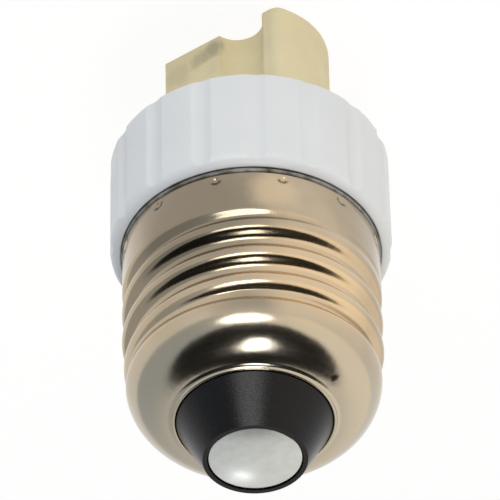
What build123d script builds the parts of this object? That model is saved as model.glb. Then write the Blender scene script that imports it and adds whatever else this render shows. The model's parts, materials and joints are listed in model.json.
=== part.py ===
# Lamp socket adapter: an Edison screw base at one end and a ceramic looped-pin socket at the other.
# It stands on its socket face at z = 0 with the screw base up; x runs along the socket's slot.
import os
from math import asin, atan, cos, degrees, pi, sin, sqrt

from build123d import *

os.makedirs("parts", exist_ok=True)

# Lengths along the axis, mm
socket_reach = 16.0
ring_height = 12.0
shell_gap = 0.5
shell_length = 21.7
insulator_reach = 4.6
contact_dome = 0.35

# Clearances between neighbouring pieces
slip = 0.05
lead_slip = 0.03
lead_hole_room = 0.3

# Screw shell: rolled sheet with a single-start round thread
thread_major_r = 13.1
thread_pitch = 3.629
thread_depth = 1.09
thread_start = 28.8
thread_run_in = 2.0
thread_run_out = 4.0
shell_turn = -105.8
sections_per_turn = 12
section_points = 20
shoulder_sections = 6
sheet = 0.35
collar_height = 4.3
shoulder_r = 12.8
lip_height = 0.4
crimp_count = 12
crimp_start = 9.8
crimp_inset = 0.85
crimp_tip = 0.2
crimp_depth = 0.2

# Housing: fluted grip ring, socket cup, floor, screw bosses and the neck inside the shell
ring_r = 14.35
flute_count = 16
flute_start = 6.7
flute_depth = 0.3
flute_scoop_r = 2.2
flute_edge_r = 0.6
ring_end_round = 1.2
ring_rim_round = 0.3
cup_wall = 2.2
cup_depth = 3.0
floor_thickness = 2.2
neck_wall = 1.8
neck_end_gap = 0.3
root_groove_depth = 0.8
root_groove_drop = 0.8
root_groove_room = 0.15
boss_wall = 1.4
boss_height = 6.0

# Ceramic socket: a bar with round ends and a screw channel in each side, on a round flange
tower_r = 8.6
tower_half_width = 4.8
channel_x = 2.6
channel_y = 5.4
channel_r = 2.75
nose_round = 0.5
nose_end_round = 1.2
tower_edge = 0.2
flange_r = 9.6
flange_thickness = 2.5
slot_length = 14.6
slot_width = 4.1
slot_depth = 9.5
slot_corner_r = 0.6
chamber_length = 3.7
chamber_width = 3.7
pin_spacing = 9.0
plate_length = 14.4
plate_width = 6.4
plate_thickness = 0.6
plate_corner_r = 1.0

# Fixing screws
screw_r = 1.45
screw_hole_r = 1.6
screw_length = 9.5
head_r = 2.5
head_height = 2.0
head_round = 0.7
recess_length = 3.0
recess_width = 0.7
recess_depth = 1.0

# Contact clips: bent strip with two sprung legs and a crimp barrel
clip_strip = 0.4
clip_width = 3.2
clip_spread = 1.2
clip_pinch = 0.55
clip_flare = 1.1
clip_base_height = 6.3
clip_pinch_height = 2.2
clip_bend_r = 0.5
barrel_length = 2.3

# Leads: a bare core in an insulating sleeve
core_r = 0.45
sleeve_wall = 0.47
lead_rise = 4.5
live_bend_height = 6.5
live_bend_r = 20.0
live_strip = 1.8
live_tip_gap = 0.4
neutral_bend_height = 3.4
neutral_bend_r = 9.0
neutral_strip = 3.6
neutral_tail = 4.7

# Base insulator and centre contact
insulator_r = 7.75
insulator_depth = 4.6
insulator_end_r = 5.2
insulator_rim_rise = 0.15
contact_r = 4.68
contact_thickness = 0.8
contact_edge_r = 0.15
contact_skin = 0.4
shank_r = 1.45
shank_bore_r = 0.55
upset_r = 2.3
upset_height = 0.5

# Levels along the axis
z_rim = socket_reach
z_floor = z_rim + cup_depth
z_floor_back = z_floor + floor_thickness
z_ring_end = z_rim + ring_height
z_shell = z_ring_end + shell_gap
z_crimp = z_shell + crimp_inset
z_thread = z_shell + collar_height
z_neck_end = z_thread - neck_end_gap
z_lip = z_shell + shell_length
z_contact = z_lip + insulator_reach
z_tip = z_contact + contact_dome
z_seat = z_contact - contact_thickness
z_insulator = z_lip - insulator_depth
z_flange = z_floor - flange_thickness
z_plate = z_floor - plate_thickness
z_clip = slot_depth + clip_base_height

# Radii and places that follow from the sizes above
collar_bore_r = thread_major_r - sheet
neck_r = collar_bore_r - slip
neck_bore_r = neck_r - neck_wall
dent_height = 2 * crimp_depth
dent_width = crimp_tip + 2 * dent_height
bump_height = crimp_depth + sheet / 2
bump_width = crimp_tip + sheet + 2 * bump_height
flank_angle = 2 * atan(2 * thread_depth / thread_pitch)
thread_arc_r = thread_pitch / 4 / sin(flank_angle)
groove_r = neck_r - root_groove_depth
moat_r = thread_major_r + root_groove_room
z_groove = z_ring_end - root_groove_drop
z_groove_end = z_crimp + bump_width / 2 + root_groove_room
lip_bore_r = insulator_r + slip
shoulder_centre_r = lip_bore_r + sheet / 2
shoulder_round = shoulder_r - shoulder_centre_r
z_shoulder = z_lip - lip_height - shoulder_round
channel_points = [(-channel_x, -channel_y), (channel_x, channel_y)]
pin_x = pin_spacing / 2
pin_points = [(-pin_x, 0), (pin_x, 0)]
screw_bore_r = screw_r + slip
barrel_bore_r = core_r + lead_slip
barrel_r = barrel_bore_r + clip_strip
sleeve_bore_r = core_r + lead_slip
sleeve_r = sleeve_bore_r + sleeve_wall
neutral_x = thread_major_r - thread_depth - sheet - core_r - lead_slip


def ease(share):
    """Smooth step from 0 to 1 with no slope at either end."""
    share = min(max(share, 0.0), 1.0)
    return share * share * (3 - 2 * share)


def thread_drop(turns, inset):
    """Depth of a round thread below its crest, on the sheet's outside or on a face set in from it."""
    along = abs((turns + 0.5) % 1 - 0.5) * thread_pitch
    crest_arc_r = thread_arc_r - inset
    root_arc_r = thread_arc_r + inset
    if along < crest_arc_r * sin(flank_angle):
        return crest_arc_r - sqrt(crest_arc_r**2 - along**2)
    return thread_depth - root_arc_r + sqrt(root_arc_r**2 - (thread_pitch / 2 - along) ** 2)


def level_section(z, r, inset, thread_share):
    """Outline of the shell at one level: a circle that the thread's groove draws in."""
    turns = thread_start / 360 + (z - z_shell) / thread_pitch
    points = []
    for step in range(section_points):
        share = step / section_points
        reach = r - inset - thread_share * thread_drop(share - turns, inset)
        points.append((reach * cos(2 * pi * share), reach * sin(2 * pi * share)))
    with BuildSketch(Plane.XY.offset(z).rotated((0, 0, shell_turn))) as section:
        with BuildLine():
            Spline(*points, periodic=True)
        make_face()
    return section.sketch


def shell_sections(inset):
    """Level sections through the thread and round the drawn shoulder."""
    sections = []
    count = round((z_shoulder - z_thread) / thread_pitch * sections_per_turn)
    for index in range(count):
        z = z_thread + (z_shoulder - z_thread) * index / count
        rise = ease((z - z_thread) / thread_run_in)
        fall = ease((z_shoulder - z) / thread_run_out)
        crest_r = shoulder_r + (thread_major_r - shoulder_r) * fall
        sections.append(level_section(z, crest_r, inset, rise * fall))
    for index in range(shoulder_sections + 1):
        angle = pi / 2 * index / shoulder_sections
        z = z_shoulder + (shoulder_round - inset) * sin(angle)
        r = shoulder_centre_r + (shoulder_round - inset) * cos(angle)
        sections.append(level_section(z, r, 0, 0))
    return sections


# Screw shell: collar with its crimps, thread, drawn shoulder and lip
with BuildPart() as screw_shell:
    extrude(level_section(z_thread, thread_major_r, 0, 0), amount=-collar_height)
    extrude(level_section(z_thread, thread_major_r, sheet, 0), amount=-collar_height, mode=Mode.SUBTRACT)
    with Locations((0, 0, z_crimp)):
        with PolarLocations(collar_bore_r + sheet / 2, crimp_count, start_angle=crimp_start):
            Wedge(bump_width, bump_height, bump_width, bump_height, bump_height,
                  bump_width - bump_height, bump_width - bump_height,
                  rotation=(0, 0, 90), align=(Align.CENTER, Align.MIN, Align.CENTER))
        with PolarLocations(thread_major_r + crimp_depth, crimp_count, start_angle=crimp_start):
            Wedge(dent_width, dent_height, dent_width, dent_height, dent_height,
                  dent_width - dent_height, dent_width - dent_height,
                  rotation=(0, 0, 90), align=(Align.CENTER, Align.MIN, Align.CENTER), mode=Mode.SUBTRACT)
    loft(sections=shell_sections(0))
    loft(sections=shell_sections(sheet), mode=Mode.SUBTRACT)
    with BuildSketch(Plane.XY.offset(z_lip)):
        Circle(lip_bore_r + sheet)
    extrude(amount=-lip_height - sheet / 2)
    with BuildSketch(Plane.XY.offset(z_lip)):
        Circle(lip_bore_r)
    extrude(amount=-lip_height - sheet, mode=Mode.SUBTRACT)
screw_shell.part.label = "screw_shell"
export_step(screw_shell.part, "parts/screw_shell.step")

# Housing: fluted ring with rounded edges, cup, neck, bosses, screw bores and lead holes
with BuildPart() as housing:
    with BuildSketch(Plane.XY.offset(z_rim)) as ring_outline:
        Circle(ring_r)
        with PolarLocations(ring_r - flute_depth + flute_scoop_r, flute_count, start_angle=flute_start):
            Circle(flute_scoop_r, mode=Mode.SUBTRACT)
        fillet(ring_outline.vertices(), flute_edge_r)
    extrude(amount=ring_height)
    with BuildSketch(Plane.XZ) as ring_turning:
        with Locations((0, z_rim)):
            Rectangle(ring_r, ring_height, align=(Align.MIN, Align.MIN))
        outer_corners = ring_turning.vertices().group_by(Axis.X)[-1].sort_by(Axis.Y)
        fillet(outer_corners[0], ring_rim_round)
        outer_corners = ring_turning.vertices().group_by(Axis.X)[-1].sort_by(Axis.Y)
        fillet(outer_corners[-1], ring_end_round)
    revolve(axis=Axis.Z, mode=Mode.INTERSECT)
    with BuildSketch(Plane.XY.offset(z_ring_end)):
        Circle(neck_r)
    extrude(amount=z_neck_end - z_ring_end)
    with BuildSketch(Plane.XZ):
        with Locations((groove_r, z_groove)):
            Rectangle(neck_r - groove_r, z_groove_end - z_groove, align=(Align.MIN, Align.MIN))
            Rectangle(moat_r - groove_r, root_groove_drop, align=(Align.MIN, Align.MIN))
    revolve(axis=Axis.Z, mode=Mode.SUBTRACT)
    with BuildSketch(Plane.XY.offset(z_rim)):
        Circle(ring_r - flute_depth - cup_wall)
    extrude(amount=cup_depth, mode=Mode.SUBTRACT)
    with BuildSketch(Plane.XY.offset(z_floor_back)):
        Circle(neck_bore_r)
    extrude(amount=z_neck_end - z_floor_back, mode=Mode.SUBTRACT)
    with BuildSketch(Plane.XY.offset(z_floor_back)):
        with Locations(*channel_points):
            Circle(screw_bore_r + boss_wall)
    extrude(amount=boss_height)
    with BuildSketch(Plane.XY.offset(z_floor)):
        with Locations(*channel_points):
            Circle(screw_bore_r)
    extrude(amount=screw_length - flange_thickness + slip, mode=Mode.SUBTRACT)
    with BuildSketch(Plane.XY.offset(z_floor)):
        with Locations(*pin_points):
            Circle(sleeve_r + lead_hole_room)
    extrude(amount=floor_thickness, mode=Mode.SUBTRACT)
housing.part.label = "housing"
export_step(housing.part, "parts/housing.step")

# Ceramic body: bar-shaped tower with screw channels, slot, contact chambers and plate recess
with BuildPart() as socket_body:
    with BuildSketch() as tower_outline:
        Circle(tower_r)
        Rectangle(2 * tower_r, 2 * tower_half_width, mode=Mode.INTERSECT)
        with Locations(*channel_points):
            Circle(channel_r, mode=Mode.SUBTRACT)
        noses = tower_outline.vertices().filter_by(lambda corner: corner.X * corner.Y > 0)
        fillet(noses.sort_by(lambda corner: abs(corner.X))[:2], nose_round)
        noses = tower_outline.vertices().filter_by(lambda corner: corner.X * corner.Y > 0)
        fillet(noses.sort_by(lambda corner: abs(corner.X))[-2:], nose_end_round)
    extrude(amount=z_flange)
    chamfer(socket_body.faces().sort_by(Axis.Z)[0].edges(), tower_edge)
    with BuildSketch(Plane.XY.offset(z_flange)):
        Circle(flange_r)
    extrude(amount=flange_thickness)
    with BuildSketch():
        RectangleRounded(slot_length, slot_width, slot_corner_r)
    extrude(amount=slot_depth, mode=Mode.SUBTRACT)
    with BuildSketch(Plane.XY.offset(slot_depth)):
        with Locations(*pin_points):
            Rectangle(chamber_length, chamber_width)
    extrude(amount=z_plate - slot_depth, mode=Mode.SUBTRACT)
    with BuildSketch(Plane.XY.offset(z_plate)):
        RectangleRounded(plate_length + 2 * slip, plate_width + 2 * slip, plate_corner_r + slip)
    extrude(amount=plate_thickness, mode=Mode.SUBTRACT)
    with BuildSketch(Plane.XY.offset(z_flange)):
        with Locations(*channel_points):
            Circle(screw_hole_r)
    extrude(amount=flange_thickness, mode=Mode.SUBTRACT)
socket_body.part.label = "socket_body"
export_step(socket_body.part, "parts/socket_body.step")

# Insulating plate that closes the contact chambers at the back of the ceramic
with BuildPart() as socket_base_plate:
    with BuildSketch(Plane.XY.offset(z_plate)):
        RectangleRounded(plate_length, plate_width, plate_corner_r)
        with Locations(*pin_points):
            Circle(sleeve_r + slip, mode=Mode.SUBTRACT)
    extrude(amount=plate_thickness)
socket_base_plate.part.label = "socket_base_plate"
export_step(socket_base_plate.part, "parts/socket_base_plate.step")

# Two fixing screws: round heads with a cross recess, on the flange inside the channels
with BuildPart() as fixing_screws:
    with BuildSketch(Plane.XY.offset(z_flange - head_height)):
        with Locations(*channel_points):
            Circle(head_r)
    extrude(amount=head_height)
    fillet(fixing_screws.edges().filter_by(GeomType.CIRCLE).group_by(Axis.Z)[0], head_round)
    with BuildSketch(Plane.XY.offset(z_flange - head_height)):
        with Locations(*channel_points):
            Rectangle(recess_length, recess_width)
            Rectangle(recess_width, recess_length)
    extrude(amount=recess_depth, mode=Mode.SUBTRACT)
    with BuildSketch(Plane.XY.offset(z_flange)):
        with Locations(*channel_points):
            Circle(screw_r)
    extrude(amount=screw_length)
fixing_screws.part.label = "fixing_screws"
export_step(fixing_screws.part, "parts/fixing_screws.step")


def contact_clip(name, side):
    """Sprung clip in the chamber on one side: two legs that pinch the pin, and a barrel for the core."""
    z_pinch = slot_depth + clip_pinch_height
    with BuildPart() as clip:
        with BuildSketch(Plane.YZ.offset(side * pin_x)):
            with BuildLine():
                FilletPolyline(
                    (clip_flare, slot_depth),
                    (clip_pinch, z_pinch),
                    (clip_spread, z_clip),
                    (-clip_spread, z_clip),
                    (-clip_pinch, z_pinch),
                    (-clip_flare, slot_depth),
                    radius=clip_bend_r,
                )
            trace(line_width=clip_strip)
        extrude(amount=clip_width / 2, both=True)
        with BuildSketch(Plane.XY.offset(z_clip)):
            with Locations((side * pin_x, 0)):
                Circle(barrel_r)
        extrude(amount=barrel_length)
        with BuildSketch(Plane.XY.offset(z_clip + clip_strip / 2)):
            with Locations((side * pin_x, 0)):
                Circle(barrel_bore_r)
        extrude(amount=barrel_length, mode=Mode.SUBTRACT)
    clip.part.label = name
    export_step(clip.part, f"parts/{name}.step")


def lead(name, bends, bend_r, start, end, outer_r, bore_r):
    """Round wire or sleeve along straight runs with arcs at the bends."""
    with BuildPart() as wire:
        with BuildLine() as route:
            FilletPolyline(start, *bends, end, radius=bend_r)
        with BuildSketch(Plane(start, x_dir=(1, 0, 0), z_dir=route.line % 0)):
            Circle(outer_r)
            if bore_r:
                Circle(bore_r, mode=Mode.SUBTRACT)
        sweep(path=route.line)
    wire.part.label = name
    export_step(wire.part, f"parts/{name}.step")


contact_clip("contact_clip_live", 1)
contact_clip("contact_clip_neutral", -1)

# Leads: the live one runs to the centre contact, the neutral one to the shell's inside
z_core = z_clip + clip_strip / 2
z_sleeve = z_plate - lead_slip
z_first_bend = z_floor_back + lead_rise
z_live_bend = z_insulator - live_bend_height
z_neutral_bend = z_thread + neutral_bend_height
live_bends = [(pin_x, 0, z_first_bend), (0, 0, z_live_bend)]
neutral_bends = [(-pin_x, 0, z_first_bend), (-neutral_x, 0, z_neutral_bend)]
neutral_run = Vector(*neutral_bends[1]) - Vector(*neutral_bends[0])
neutral_sleeve_end = Vector(*neutral_bends[1]) - neutral_run.normalized() * neutral_strip
live_sleeve_end = (0, 0, z_insulator - upset_height - live_strip)
live_tip = (0, 0, z_contact - contact_skin - live_tip_gap)
neutral_tip = (-neutral_x, 0, z_neutral_bend + neutral_tail)
lead("live_core", live_bends, live_bend_r, (pin_x, 0, z_core), live_tip, core_r, 0)
lead("live_sleeve", live_bends, live_bend_r, (pin_x, 0, z_sleeve), live_sleeve_end,
     sleeve_r, sleeve_bore_r)
lead("neutral_core", neutral_bends, neutral_bend_r, (-pin_x, 0, z_core), neutral_tip, core_r, 0)
lead("neutral_sleeve", neutral_bends[:1], neutral_bend_r, (-pin_x, 0, z_sleeve), neutral_sleeve_end,
     sleeve_r, sleeve_bore_r)

# Base insulator: flange bedded in the shoulder, a collar through the lip and a cone to the contact
with BuildPart() as base_insulator:
    with BuildSketch(Plane.XZ):
        with BuildLine():
            bed_r = shoulder_round - sheet - slip
            bed_start = degrees(asin((z_insulator - z_shoulder) / bed_r))
            bed = CenterArc((shoulder_centre_r, z_shoulder), bed_r, bed_start, 90 - bed_start)
            Polyline(
                bed @ 1,
                (insulator_r, (bed @ 1).Y),
                (insulator_r, z_lip),
                (insulator_end_r, z_contact + insulator_rim_rise),
                (contact_r + slip, z_contact + insulator_rim_rise),
                (contact_r + slip, z_seat),
                (shank_r + slip, z_seat),
                (shank_r + slip, z_insulator),
                bed @ 0,
            )
        make_face()
    revolve(axis=Axis.Z)
base_insulator.part.label = "base_insulator"
export_step(base_insulator.part, "parts/base_insulator.step")

# Centre contact: slightly domed disc with a hollow riveted shank
with BuildPart() as centre_contact:
    with BuildSketch(Plane.XZ) as contact_profile:
        with BuildLine():
            dome = ThreePointArc((-contact_r, z_contact), (0, z_tip), (contact_r, z_contact))
            Polyline(dome @ 1, (contact_r, z_seat), (-contact_r, z_seat), dome @ 0)
        make_face()
        with Locations((0, z_seat)):
            Rectangle(2 * shank_r, z_seat - z_insulator, align=(Align.CENTER, Align.MAX))
        with Locations((0, z_insulator)):
            Rectangle(2 * upset_r, upset_height, align=(Align.CENTER, Align.MAX))
        with Locations((0, z_contact - contact_skin)):
            Rectangle(2 * shank_bore_r, z_contact - z_insulator + upset_height,
                      align=(Align.CENTER, Align.MAX), mode=Mode.SUBTRACT)
        split(bisect_by=Plane.YZ)
        fillet(contact_profile.vertices().group_by(Axis.X)[-1].sort_by(Axis.Y)[-1], contact_edge_r)
    revolve(axis=Axis.Z)
centre_contact.part.label = "centre_contact"
export_step(centre_contact.part, "parts/centre_contact.step")
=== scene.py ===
"""Looks of the lamp socket adapter: finishes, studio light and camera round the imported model."""
import json
from math import asin, atan, cos, exp, hypot, pi, radians, sin, sqrt

import bpy
from mathutils import Matrix, Vector


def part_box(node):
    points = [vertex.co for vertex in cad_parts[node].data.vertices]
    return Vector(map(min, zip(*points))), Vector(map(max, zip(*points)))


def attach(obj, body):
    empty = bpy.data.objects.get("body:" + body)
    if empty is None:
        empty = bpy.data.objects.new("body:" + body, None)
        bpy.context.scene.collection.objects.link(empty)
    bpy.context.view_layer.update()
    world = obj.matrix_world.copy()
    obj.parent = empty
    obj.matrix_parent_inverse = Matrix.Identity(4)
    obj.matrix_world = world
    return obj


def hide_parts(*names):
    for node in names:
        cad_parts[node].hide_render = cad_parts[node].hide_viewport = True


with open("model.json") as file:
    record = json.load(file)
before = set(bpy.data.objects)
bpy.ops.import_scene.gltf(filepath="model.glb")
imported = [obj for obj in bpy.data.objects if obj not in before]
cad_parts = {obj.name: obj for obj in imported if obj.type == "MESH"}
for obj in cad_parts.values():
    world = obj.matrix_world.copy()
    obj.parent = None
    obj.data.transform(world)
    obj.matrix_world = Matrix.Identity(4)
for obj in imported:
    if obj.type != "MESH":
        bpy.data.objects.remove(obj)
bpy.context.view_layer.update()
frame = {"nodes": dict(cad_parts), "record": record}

MM = 0.001

# Camera: the direction that the photograph looks from, with the screw base down in the picture
VIEW_AZIMUTH = -35.3
VIEW_ELEVATION = 41.7
VIEW_LEAN = 1.2
VIEW_DISTANCE = 500 * MM
VIEW_HEIGHT = 34.80 * MM
AIM_RIGHT = -0.10 * MM
AIM_UP = 5.66 * MM
SENSOR = 36.0
LENS = 357.5

# Studio: pale surroundings, a dark canopy with a lamp in it, a lamp in front and a small one behind
LAMP_DISTANCE = 600 * MM
TOP_LAMP = {"azimuth": -45.0, "elevation": 76.0, "width": 155 * MM, "length": 350 * MM, "power": 0.67}
FRONT_LAMP = {"azimuth": -29.0, "elevation": 14.4, "width": 450 * MM, "length": 215 * MM, "power": 1.06}
BACK_LAMP = {"azimuth": 141.0, "elevation": 32.6, "width": 44 * MM, "length": 26 * MM, "power": 0.0125}
CANOPY_AZIMUTH = -35.0
CANOPY_ELEVATION = 77.0
CANOPY_RADIUS = 51.0
CANOPY_SOFTNESS = 3.0
CANOPY_BACK_EDGE = 54.6
CANOPY_LEVEL = 0.015
WARM_AZIMUTH = -125.0
WARM_TINT = (1.25, 1.17, 1.05)
COOL_TINT = (0.54, 0.57, 0.61)
SIDE_REACH = 0.9
SURROUND_LEVEL = 1.0
FLOOR_SIZE = 6.0
FLOOR_GREY = 0.85
FLOOR_SHADOW_GREY = 0.2
FLOOR_GLOW = 0.88

# The values that noise mostly keeps between, and a spot's solid core as a share of its reach
NOISE_RANGE = (0.3, 0.7)
SPOT_CORE = 0.3

# Tones and marks in mm, laid where the photograph is darker or brighter. On the shell the darker spots are
# painted shade and the brighter spots are painted highlights; the scuff is wear.
# Each has its place, its reach and how strongly it covers.
# Painted shade: darker spots in the plating's colour
PAINTED_SHADE_SPOTS = (
    ((-1.8, -12.9, 33.0), 11.5, 0.85),
    ((-7.2, -11.0, 47.0), 5.0, 0.6),
    ((-13.0, 0.7, 30.8), 6.0, 0.3),
)
# Painted highlights: brighter spots in the plating's colour
PAINTED_SHEEN_SPOTS = (
    ((-12.1, -4.9, 40.8), 9.3, 1.0),
    ((-9.5, -9.1, 31.0), 3.4, 0.7),
)
SCUFFS = (((-9.7, -0.1, 49.4), 0.6, 1.0),)
# Darker patches on one flat of the ceramic
CERAMIC_DARK_PATCHES = (
    ((0.9, -4.8, 1.7), 1.6, 0.48),
    ((2.7, -4.8, 2.1), 1.5, 0.32),
    ((5.6, -4.8, 3.0), 2.4, 0.16),
)

# Heights in mm between which the shell's colour turns greyer
GREYING_Z = (45.5, 48.5)

# Painted shade in mm in the groove beside the shell, where the plastic is darkened: its outer radius, its
# lowest height and its soft edges
GROOVE_SHADE_R = 13.4
GROOVE_SHADE_R_EDGE = 0.15
GROOVE_SHADE_Z = 27.0
GROOVE_SHADE_Z_EDGE = 0.3

# Bead in mm in that groove, a little below the shell's edge, darkened as painted shade
BEAD_R = 12.98
BEAD_DROP = 0.33
BEAD_WIDTH = 0.22
BEAD_HEIGHT = 0.26
BEAD_SWELL = 0.2
BEAD_WAVES = (5, 3)
BEAD_PHASE = 1.0
BEAD_COLUMNS = 160
BEAD_ROWS = 12

# Screw shell in mm: as in the model, but for a longer collar, round crimps and the thread's end
MAJOR_R = 13.1
PITCH = 3.629
THREAD_DEPTH = 1.09
THREAD_TURN = -77.0
COLLAR_HEIGHT = 4.65
RUN_IN = 2.0
RUN_OUT = 4.0
RUN_PAST = 1.2
SHOULDER_R = 12.8
SHOULDER_EASE = 4.0
SHEET = 0.35
LIP_HEIGHT = 0.4
LIP_BORE_R = 7.8
EDGE_ROUND = 0.12
CRIMP_COUNT = 12
CRIMP_START = 9.8
CRIMP_INSET = 0.7
CRIMP_DEPTH = 0.34
CRIMP_SIZE = 0.42
SHELL_COLUMNS = 320
OUTSIDE_STEP = 0.12
INSIDE_STEP = 0.3

# Turns of the shell's section in radians: the shoulder's arc and the steps along each round
SHOULDER_ARC = radians(87)
SHOULDER_STEP = radians(5)
INNER_SHOULDER_STEP = radians(8)
EDGE_STEP = pi / 8
LIP_STEP = pi / 6


def direction(azimuth, elevation):
    """Unit vector from the part towards a place on the sky; azimuth 0 is the -Y side."""
    a = radians(azimuth)
    e = radians(elevation)
    return Vector((sin(a) * cos(e), -cos(a) * cos(e), sin(e)))


class Nodes:
    """Short calls for adding and joining the nodes of one material or world."""

    def __init__(self, tree):
        self.tree = tree
        self.tree.nodes.clear()

    def add(self, kind, inputs=None, **settings):
        """A node with its settings, and its sockets given values or joined to other sockets."""
        node = self.tree.nodes.new(kind)
        for name, value in settings.items():
            setattr(node, name, value)
        for name, value in (inputs or {}).items():
            if isinstance(value, bpy.types.NodeSocket):
                self.tree.links.new(value, node.inputs[name])
            else:
                node.inputs[name].default_value = value
        return node

    def math(self, operation, first, second=0.0, third=0.0):
        """One arithmetic step on numbers or sockets."""
        node = self.add("ShaderNodeMath", {0: first, 1: second, 2: third}, operation=operation)
        return node.outputs[0]

    def coordinates(self):
        """The part's own coordinates in millimetres."""
        place = self.add("ShaderNodeTexCoord").outputs["Object"]
        scaled = self.add("ShaderNodeVectorMath", {0: place, "Scale": 1 / MM}, operation="SCALE")
        return scaled.outputs[0]

    def noise(self, vector, scale, detail=4.0, roughness=0.5):
        """Noise from 0 to 1; the scale is in cycles per millimetre."""
        node = self.add(
            "ShaderNodeTexNoise",
            {"Vector": vector, "Scale": scale, "Detail": detail, "Roughness": roughness},
        )
        return node.outputs["Fac"]

    def spread(self, value, low, high, to_low=0.0, to_high=1.0, smooth=False):
        """The value's range from low to high stretched to another range."""
        node = self.add(
            "ShaderNodeMapRange",
            {"Value": value, "From Min": low, "From Max": high, "To Min": to_low, "To Max": to_high},
            interpolation_type="SMOOTHSTEP" if smooth else "LINEAR",
        )
        return node.outputs["Result"]

    def blend(self, share, first, second):
        """A colour between two colours."""
        node = self.add("ShaderNodeMix", data_type="RGBA")
        sockets = {"Factor": node.inputs[0], "A": node.inputs[6], "B": node.inputs[7]}
        for name, value in (("Factor", share), ("A", first), ("B", second)):
            if isinstance(value, bpy.types.NodeSocket):
                self.tree.links.new(value, sockets[name])
            else:
                sockets[name].default_value = value if name == "Factor" else (*value, 1.0)
        return node.outputs[2]

    def spot(self, place, centre, radius, ragged):
        """1 at a place in millimetres, falling to 0 at a ragged edge round it."""
        away = self.add("ShaderNodeVectorMath", {0: place, 1: centre}, operation="DISTANCE")
        cloud = self.noise(place, 1.5 / radius)
        wobble = self.spread(cloud, *NOISE_RANGE, 1 - ragged / 2, 1 + ragged / 2)
        reach = self.math("MULTIPLY", away.outputs["Value"], wobble)
        return self.spread(reach, radius, SPOT_CORE * radius, smooth=True)

    def marked(self, place, colour, marks, tint, ragged):
        """A colour with a tint laid over it at each mark's place."""
        for centre, radius, share in marks:
            cover = self.math("MULTIPLY", self.spot(place, centre, radius, ragged), share)
            colour = self.blend(cover, colour, tint)
        return colour

    def bump(self, height, depth, strength=1.0, normal=None):
        """Surface relief of a depth in millimetres."""
        inputs = {"Height": height, "Distance": depth * MM, "Strength": strength}
        if normal is not None:
            inputs["Normal"] = normal
        return self.add("ShaderNodeBump", inputs).outputs["Normal"]

    def surface(self, **sockets):
        """The finished surface shader; an underscore in a name stands for a space."""
        inputs = {name.replace("_", " "): value for name, value in sockets.items()}
        shader = self.add("ShaderNodeBsdfPrincipled", inputs)
        self.output(shader.outputs[0])

    def output(self, shader):
        """Joins a shader to the output of its material."""
        self.add("ShaderNodeOutputMaterial", {"Surface": shader})


def new_material(name):
    """An empty node material."""
    made = bpy.data.materials.new(name)
    made.use_nodes = True
    return made, Nodes(made.node_tree)


def axis_distance(nodes, split):
    """Distance from the part's axis, from coordinates that are split in three."""
    x_squared = nodes.math("MULTIPLY", split.outputs["X"], split.outputs["X"])
    radius_squared = nodes.math("MULTIPLY_ADD", split.outputs["Y"], split.outputs["Y"], x_squared)
    return nodes.math("SQRT", radius_squared)


def turning_lines(nodes, place, scale):
    """Noise that only changes along the profile, so it forms rings round the axis."""
    split = nodes.add("ShaderNodeSeparateXYZ", {"Vector": place})
    flat_place = {"X": axis_distance(nodes, split), "Z": split.outputs["Z"]}
    profile = nodes.add("ShaderNodeCombineXYZ", flat_place)
    return nodes.noise(profile.outputs[0], scale, detail=6.0, roughness=0.7)


def plated_shell():
    """Bright warm plating with rolling lines, painted shade and painted highlights in places, stains, pits
    and a scuff.
    """
    made, nodes = new_material("plated_shell")
    place = nodes.coordinates()
    stains = nodes.spread(nodes.noise(place, 0.22, detail=5.0), 0.35, 0.7)
    colour = nodes.blend(stains, (0.515, 0.42, 0.295), (0.455, 0.37, 0.26))
    # Painted shade and painted highlights laid into the plating's colour at their spots
    colour = nodes.marked(place, colour, PAINTED_SHADE_SPOTS, (0.23, 0.195, 0.145), ragged=0.3)
    colour = nodes.marked(place, colour, PAINTED_SHEEN_SPOTS, (0.67, 0.515, 0.335), ragged=0.3)
    height = nodes.add("ShaderNodeSeparateXYZ", {"Vector": place}).outputs["Z"]
    grey_share = nodes.spread(height, *GREYING_Z, smooth=True)
    colour = nodes.blend(grey_share, colour, (0.485, 0.435, 0.345))
    colour = nodes.marked(place, colour, SCUFFS, (0.06, 0.05, 0.04), ragged=0.6)
    rings = turning_lines(nodes, place, 3.0)
    grain = nodes.noise(place, 2.5, detail=6.0, roughness=0.65)
    mixed = nodes.math("MULTIPLY_ADD", rings, 0.6, nodes.math("MULTIPLY", grain, 0.4))
    roughness = nodes.spread(mixed, *NOISE_RANGE, 0.13, 0.23)
    pits = nodes.add("ShaderNodeTexVoronoi", {"Vector": place, "Scale": 3.2})
    pit = nodes.spread(pits.outputs["Distance"], 0.05, 0.3)
    waves = nodes.bump(nodes.noise(place, 0.35, detail=2.0), 0.05, 0.6)
    fine = nodes.bump(mixed, 0.005, 0.6, waves)
    relief = nodes.bump(pit, 0.004, 0.45, fine)
    nodes.surface(Base_Color=colour, Metallic=1.0, Roughness=roughness, Normal=relief)
    return made


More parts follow.
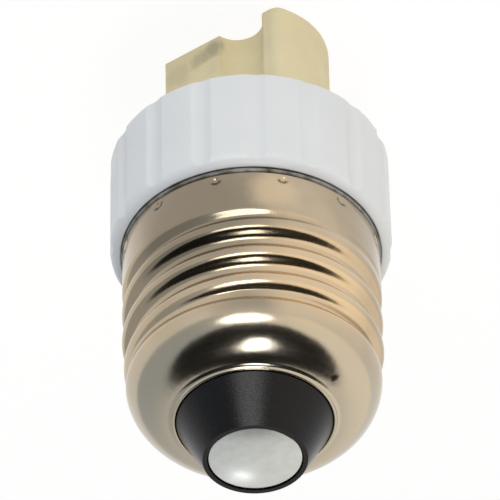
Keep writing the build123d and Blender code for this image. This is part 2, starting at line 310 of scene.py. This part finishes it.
def white_plastic():
    """Moulded white plastic with a soft gloss, and painted shade in the groove beside the shell."""
    made, nodes = new_material("white_plastic")
    place = nodes.coordinates()
    cloud = nodes.spread(nodes.noise(place, 0.15, detail=2.0), *NOISE_RANGE)
    clean = nodes.blend(cloud, (0.835, 0.867, 0.89), (0.805, 0.84, 0.868))
    split = nodes.add("ShaderNodeSeparateXYZ", {"Vector": place})
    inside = nodes.spread(axis_distance(nodes, split), GROOVE_SHADE_R, GROOVE_SHADE_R - GROOVE_SHADE_R_EDGE)
    above = nodes.spread(split.outputs["Z"], GROOVE_SHADE_Z, GROOVE_SHADE_Z + GROOVE_SHADE_Z_EDGE)
    patches = nodes.spread(nodes.noise(place, 0.7), 0.35, 0.65, 0.7, 1.0)
    groove_shade = nodes.math("MULTIPLY", nodes.math("MULTIPLY", inside, above), patches)
    # Painted shade: the plastic in and beside the groove turns dark brown
    colour = nodes.blend(groove_shade, clean, (0.07, 0.055, 0.035))
    peel = nodes.noise(place, 0.5, detail=1.0)
    roughness = nodes.spread(nodes.noise(place, 0.4, detail=2.0), *NOISE_RANGE, 0.3, 0.38)
    relief = nodes.bump(peel, 0.01, 0.15)
    nodes.surface(Base_Color=colour, Roughness=roughness, IOR=1.49, Normal=relief)
    return made


def cream_ceramic():
    """Matt unglazed ceramic, mottled and grainy, with darker patches on one flat."""
    made, nodes = new_material("cream_ceramic")
    place = nodes.coordinates()
    cloud = nodes.spread(nodes.noise(place, 0.35, detail=5.0), *NOISE_RANGE)
    colour = nodes.blend(cloud, (0.84, 0.745, 0.48), (0.78, 0.69, 0.445))
    colour = nodes.marked(place, colour, CERAMIC_DARK_PATCHES, (0.17, 0.15, 0.11), ragged=0.5)
    grain = nodes.noise(place, 5.0, detail=5.0, roughness=0.7)
    roughness = nodes.spread(grain, *NOISE_RANGE, 0.5, 0.68)
    nodes.surface(Base_Color=colour, Roughness=roughness, Normal=nodes.bump(grain, 0.03, 0.4))
    return made


def black_insulator():
    """Satin black moulded insulator with a fine speckle."""
    made, nodes = new_material("black_insulator")
    place = nodes.coordinates()
    speckle = nodes.noise(place, 6.0, detail=4.0, roughness=0.7)
    share = nodes.spread(speckle, 0.4, 0.75)
    colour = nodes.blend(share, (0.001, 0.001, 0.0015), (0.007, 0.007, 0.008))
    roughness = nodes.spread(speckle, 0.35, 0.65, 0.17, 0.33)
    nodes.surface(Base_Color=colour, Roughness=roughness, Specular_IOR_Level=0.23,
                  Normal=nodes.bump(speckle, 0.025, 0.5))
    return made


def contact_metal():
    """Satin grey contact disc with a faint mottle and turning rings."""
    made, nodes = new_material("contact_metal")
    place = nodes.coordinates()
    cloud = nodes.spread(nodes.noise(place, 0.8, detail=5.0), *NOISE_RANGE)
    colour = nodes.blend(cloud, (0.63, 0.655, 0.645), (0.57, 0.595, 0.585))
    rings = turning_lines(nodes, place, 4.0)
    roughness = nodes.spread(rings, *NOISE_RANGE, 0.16, 0.23)
    relief = nodes.bump(rings, 0.006, 0.3)
    nodes.surface(Base_Color=colour, Metallic=1.0, Roughness=roughness, Normal=relief)
    return made


def insulating_plate():
    """Pressed mica plate: pale flakes with a soft sheen."""
    made, nodes = new_material("insulating_plate")
    place = nodes.coordinates()
    flakes = nodes.add("ShaderNodeTexVoronoi", {"Vector": place, "Scale": 0.9})
    tone = nodes.add("ShaderNodeSeparateColor", {"Color": flakes.outputs["Color"]}).outputs[0]
    colour = nodes.blend(tone, (0.42, 0.36, 0.27), (0.30, 0.25, 0.18))
    nodes.surface(Base_Color=colour, Roughness=nodes.spread(tone, 0.0, 1.0, 0.3, 0.5),
                  Normal=nodes.bump(tone, 0.02, 0.5))
    return made


def screw_steel():
    """Zinc-plated steel, faintly grained."""
    made, nodes = new_material("screw_steel")
    place = nodes.coordinates()
    cloud = nodes.noise(place, 1.2, detail=5.0)
    colour = nodes.blend(nodes.spread(cloud, *NOISE_RANGE), (0.56, 0.57, 0.59), (0.47, 0.48, 0.50))
    nodes.surface(Base_Color=colour, Metallic=1.0, Roughness=nodes.spread(cloud, *NOISE_RANGE, 0.26, 0.4),
                  Normal=nodes.bump(nodes.noise(place, 6.0), 0.008, 0.4))
    return made


def clip_metal():
    """Plated spring strip, slightly uneven."""
    made, nodes = new_material("clip_metal")
    place = nodes.coordinates()
    streak = nodes.noise(place, 3.0, detail=5.0)
    colour = nodes.blend(nodes.spread(streak, *NOISE_RANGE), (0.62, 0.58, 0.50), (0.54, 0.50, 0.42))
    nodes.surface(Base_Color=colour, Metallic=1.0, Roughness=nodes.spread(streak, *NOISE_RANGE, 0.2, 0.34),
                  Normal=nodes.bump(streak, 0.006, 0.4))
    return made


def wire_copper():
    """Bare copper, slightly dulled."""
    made, nodes = new_material("wire_copper")
    place = nodes.coordinates()
    dull = nodes.noise(place, 1.5, detail=5.0)
    colour = nodes.blend(nodes.spread(dull, *NOISE_RANGE), (0.72, 0.38, 0.22), (0.52, 0.26, 0.15))
    nodes.surface(Base_Color=colour, Metallic=1.0, Roughness=nodes.spread(dull, *NOISE_RANGE, 0.24, 0.42),
                  Normal=nodes.bump(nodes.noise(place, 5.0), 0.01, 0.4))
    return made


def wire_sleeve():
    """White woven sleeve with a fine knit."""
    made, nodes = new_material("wire_sleeve")
    place = nodes.coordinates()
    weave = nodes.add("ShaderNodeTexVoronoi", {"Vector": place, "Scale": 2.6})
    knit = nodes.spread(weave.outputs["Distance"], 0.1, 0.7)
    colour = nodes.blend(knit, (0.72, 0.70, 0.64), (0.55, 0.53, 0.48))
    nodes.surface(Base_Color=colour, Roughness=0.75, Normal=nodes.bump(knit, -0.06, 0.6))
    return made


def ease(share):
    """Smooth step from 0 to 1 with no slope at either end."""
    share = min(max(share, 0.0), 1.0)
    return share * share * (3 - 2 * share)


def steps(first, last, size):
    """Even steps of about a size from first to last, both included."""
    count = max(1, round(abs(last - first) / size))
    return [first + (last - first) * index / count for index in range(count + 1)]


def thread_drop(turns):
    """Depth below the crest of a round thread whose crest and root are equal arcs."""
    flank = 2 * atan(2 * THREAD_DEPTH / PITCH)
    arc_r = PITCH / 4 / sin(flank)
    along = abs((turns + 0.5) % 1 - 0.5) * PITCH
    if along < PITCH / 4:
        return arc_r - sqrt(arc_r**2 - along**2)
    return THREAD_DEPTH - arc_r + sqrt(arc_r**2 - (PITCH / 2 - along) ** 2)


def crimp_dent(angle, z, z_crimp):
    """Depth of the nearest crimp's dent at a place on the collar."""
    share = 2 * pi / CRIMP_COUNT
    away = (angle - radians(CRIMP_START) + share / 2) % share - share / 2
    reach = hypot(away * MAJOR_R, z - z_crimp) / CRIMP_SIZE
    return CRIMP_DEPTH * exp(-(reach**2))


def shell_rows(z_start, z_end):
    """Radius, height and thread share of rows up the outside and down the inside of the sheet."""
    centre_r = LIP_BORE_R + SHEET / 2
    bend_r = SHOULDER_R - centre_r
    z_bend = z_end - LIP_HEIGHT - bend_r
    z_fade = z_bend + RUN_PAST
    rows = []
    for angle in steps(0, pi / 2, EDGE_STEP):
        r = MAJOR_R - EDGE_ROUND * (1 - sin(angle))
        rows.append((r, z_start + EDGE_ROUND * (1 - cos(angle)), 0.0))
    for z in steps(z_start + EDGE_ROUND, z_fade, OUTSIDE_STEP)[1:]:
        if z < z_bend:
            r = SHOULDER_R + (MAJOR_R - SHOULDER_R) * ease((z_bend - z) / SHOULDER_EASE)
        else:
            r = centre_r + sqrt(bend_r**2 - (z - z_bend) ** 2)
        rise = ease((z - z_start - COLLAR_HEIGHT) / RUN_IN)
        rows.append((r, z, rise * ease((z_fade - z) / RUN_OUT)))
    for angle in steps(asin(RUN_PAST / bend_r), SHOULDER_ARC, SHOULDER_STEP)[1:]:
        rows.append((centre_r + bend_r * cos(angle), z_bend + bend_r * sin(angle), 0.0))
    for angle in steps(0, pi, LIP_STEP):
        rows.append((centre_r + SHEET / 2 * cos(angle), z_end - SHEET / 2 * (1 - sin(angle)), 0.0))
    inner_r = bend_r - SHEET
    for angle in steps(SHOULDER_ARC, 0, INNER_SHOULDER_STEP):
        rows.append((centre_r + inner_r * cos(angle), z_bend + inner_r * sin(angle), 0.0))
    for z in steps(z_bend, z_start, INSIDE_STEP)[1:]:
        r = SHOULDER_R + (MAJOR_R - SHOULDER_R) * ease((z_bend - z) / SHOULDER_EASE)
        rise = ease((z - z_start - COLLAR_HEIGHT) / RUN_IN)
        rows.append((r - SHEET, z, rise * ease((z_bend - z) / RUN_OUT)))
    return rows


def add_mesh(name, points, faces, finish):
    """A smooth mesh with one finish, linked to the scene."""
    mesh = bpy.data.meshes.new(name)
    mesh.from_pydata(points, [], faces)
    mesh.shade_smooth()
    mesh.materials.append(finish)
    made = bpy.data.objects.new(name, mesh)
    bpy.context.scene.collection.objects.link(made)
    return made


def ring_faces(row_count, column_count):
    """Faces of a closed ring whose points are listed row by row, each row once round the axis."""
    faces = []
    for row in range(row_count):
        here = row * column_count
        after = (row + 1) % row_count * column_count
        for column in range(column_count):
            beside = (column + 1) % column_count
            faces.append((here + column, here + beside, after + beside, after + column))
    return faces


def make_shell(finish):
    """The rolled screw shell: the model's form in a finer mesh, its thread fading into the shoulder."""
    low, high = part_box("screw_shell")
    z_start = low.z / MM
    rows = shell_rows(z_start, high.z / MM)
    points = []
    for r, z, share in rows:
        turns = THREAD_TURN / 360 + (z - z_start) / PITCH
        for column in range(SHELL_COLUMNS):
            angle = 2 * pi * column / SHELL_COLUMNS
            drop = share * thread_drop(column / SHELL_COLUMNS - turns)
            reach = (r - drop - crimp_dent(angle, z, z_start + CRIMP_INSET)) * MM
            points.append((reach * cos(angle), reach * sin(angle), z * MM))
    shell = add_mesh("rolled_shell", points, ring_faces(len(rows), SHELL_COLUMNS), finish)
    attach(shell, "root")
    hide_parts("screw_shell")


def make_shade_bead(finish):
    """A low bead all round the groove beside the shell, a little uneven in height, that shows as a dark
    line of painted shade.
    """
    low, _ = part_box("screw_shell")
    z_bead = low.z / MM - BEAD_DROP
    points = []
    for row in range(BEAD_ROWS):
        angle = 2 * pi * row / BEAD_ROWS
        reach = (BEAD_R + BEAD_WIDTH * cos(angle)) * MM
        for column in range(BEAD_COLUMNS):
            turn = 2 * pi * column / BEAD_COLUMNS
            wave = sin(BEAD_WAVES[0] * turn + BEAD_PHASE) * sin(BEAD_WAVES[1] * turn)
            height = BEAD_HEIGHT * (1 + BEAD_SWELL * wave)
            z = (z_bead + height * sin(angle)) * MM
            points.append((reach * cos(turn), reach * sin(turn), z))
    # The bead takes the plastic's painted groove shade, so it stands in for the shade in the gap
    bead = add_mesh("groove_shade_bead", points, ring_faces(BEAD_ROWS, BEAD_COLUMNS), finish)
    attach(bead, "root")


def dress_nodes():
    """Gives every node of the model the finish of its material slot."""
    finishes = {
        "plated_shell": plated_shell(),
        "white_plastic": white_plastic(),
        "cream_ceramic": cream_ceramic(),
        "black_insulator": black_insulator(),
        "contact_metal": contact_metal(),
        "insulating_plate": insulating_plate(),
        "screw_steel": screw_steel(),
        "clip_metal": clip_metal(),
        "wire_copper": wire_copper(),
        "wire_sleeve": wire_sleeve(),
    }
    for subpart in frame["record"]["subparts"]:
        for slot in frame["nodes"][subpart["node"]].material_slots:
            slot.material = finishes[subpart["material_slot"]]
    make_shell(finishes["plated_shell"])
    make_shade_bead(finishes["white_plastic"])


def seen_share(nodes):
    """1 for rays that come from the camera, from gloss or through glass, otherwise 0."""
    path = nodes.add("ShaderNodeLightPath")
    seen = nodes.math("MAXIMUM", path.outputs["Is Camera Ray"], path.outputs["Is Glossy Ray"])
    return nodes.math("MAXIMUM", seen, path.outputs["Is Transmission Ray"])


def make_floor():
    """Plain white floor that shows white and keeps a faint shadow."""
    made, nodes = new_material("floor_paper")
    lit = nodes.add("ShaderNodeBsdfDiffuse", {"Color": (*[FLOOR_GREY] * 3, 1.0)})
    shadow = nodes.add("ShaderNodeBsdfDiffuse", {"Color": (*[FLOOR_SHADOW_GREY] * 3, 1.0)})
    glow = nodes.add("ShaderNodeEmission", {"Strength": FLOOR_GLOW})
    seen = nodes.add("ShaderNodeAddShader", {0: shadow.outputs[0], 1: glow.outputs[0]})
    layers = {0: seen_share(nodes), 1: lit.outputs[0], 2: seen.outputs[0]}
    nodes.output(nodes.add("ShaderNodeMixShader", layers).outputs[0])
    half = FLOOR_SIZE / 2
    corners = [(-half, -half, 0), (half, -half, 0), (half, half, 0), (-half, half, 0)]
    add_mesh("floor", corners, [(0, 1, 2, 3)], made)


def facing(nodes, place, azimuth, elevation):
    """Cosine of the angle between the way that a ray goes and a place on the sky."""
    vectors = {0: place, 1: direction(azimuth, elevation)}
    return nodes.add("ShaderNodeVectorMath", vectors, operation="DOT_PRODUCT").outputs["Value"]


def make_world():
    """Pale surroundings with a warm and a cool side, and a dark canopy overhead."""
    world = bpy.data.worlds.new("studio")
    world.use_nodes = True
    bpy.context.scene.world = world
    nodes = Nodes(world.node_tree)
    place = nodes.add("ShaderNodeTexCoord").outputs["Generated"]
    warm = facing(nodes, place, WARM_AZIMUTH, 0)
    tint = nodes.blend(nodes.spread(warm, -SIDE_REACH, SIDE_REACH, smooth=True), COOL_TINT, WARM_TINT)
    overhead = facing(nodes, place, CANOPY_AZIMUTH, CANOPY_ELEVATION)
    outer = cos(radians(CANOPY_RADIUS + CANOPY_SOFTNESS))
    inner = cos(radians(CANOPY_RADIUS - CANOPY_SOFTNESS))
    round_share = nodes.spread(overhead, outer, inner, smooth=True)
    behind = facing(nodes, place, CANOPY_AZIMUTH + 180, 0)
    back_outer = cos(radians(CANOPY_BACK_EDGE - CANOPY_SOFTNESS))
    back_inner = cos(radians(CANOPY_BACK_EDGE + CANOPY_SOFTNESS))
    back_share = nodes.spread(behind, back_outer, back_inner, smooth=True)
    canopy = nodes.math("MULTIPLY", round_share, back_share)
    colour = nodes.blend(canopy, tint, (CANOPY_LEVEL, CANOPY_LEVEL, CANOPY_LEVEL))
    studio = nodes.add("ShaderNodeBackground", {"Color": colour, "Strength": SURROUND_LEVEL})
    nodes.add("ShaderNodeOutputWorld", {"Surface": studio.outputs[0]})


def make_lamp(name, azimuth, elevation, width, length, power):
    """A soft lamp on the sky round the part, turned to it."""
    light = bpy.data.lights.new(name, "AREA")
    light.shape = "ELLIPSE"
    light.size = width
    light.size_y = length
    light.energy = power
    lamp = bpy.data.objects.new(name, light)
    towards = direction(azimuth, elevation)
    lamp.location = Vector((0, 0, VIEW_HEIGHT)) + towards * LAMP_DISTANCE
    lamp.rotation_mode = "QUATERNION"
    lamp.rotation_quaternion = towards.to_track_quat("Z", "Y")
    bpy.context.scene.collection.objects.link(lamp)


def make_camera():
    """Camera at the photograph's angle; the picture is turned so that the screw base points down."""
    data = bpy.data.cameras.new("camera")
    data.sensor_width = SENSOR
    data.lens = LENS
    camera = bpy.data.objects.new("camera", data)
    back = direction(VIEW_AZIMUTH, VIEW_ELEVATION)
    right = direction(VIEW_AZIMUTH - 90, 0)
    up = back.cross(right)
    target = Vector((0, 0, VIEW_HEIGHT))
    eye = target + back * VIEW_DISTANCE
    aim = target + right * AIM_RIGHT + up * AIM_UP
    depth = (eye - aim).normalized()
    lean = radians(VIEW_LEAN)
    side = (right * cos(lean) - up * sin(lean)).cross(depth)
    across = depth.cross(side).normalized()
    upright = depth.cross(across)
    turn = Matrix((across, upright, depth)).transposed()
    camera.matrix_world = Matrix.Translation(eye) @ turn.to_4x4()
    bpy.context.scene.collection.objects.link(camera)
    bpy.context.scene.camera = camera


dress_nodes()
make_floor()
make_world()
make_lamp("top_lamp", **TOP_LAMP)
make_lamp("front_lamp", **FRONT_LAMP)
make_lamp("back_lamp", **BACK_LAMP)
make_camera()
bpy.context.scene.view_settings.view_transform = "Standard"
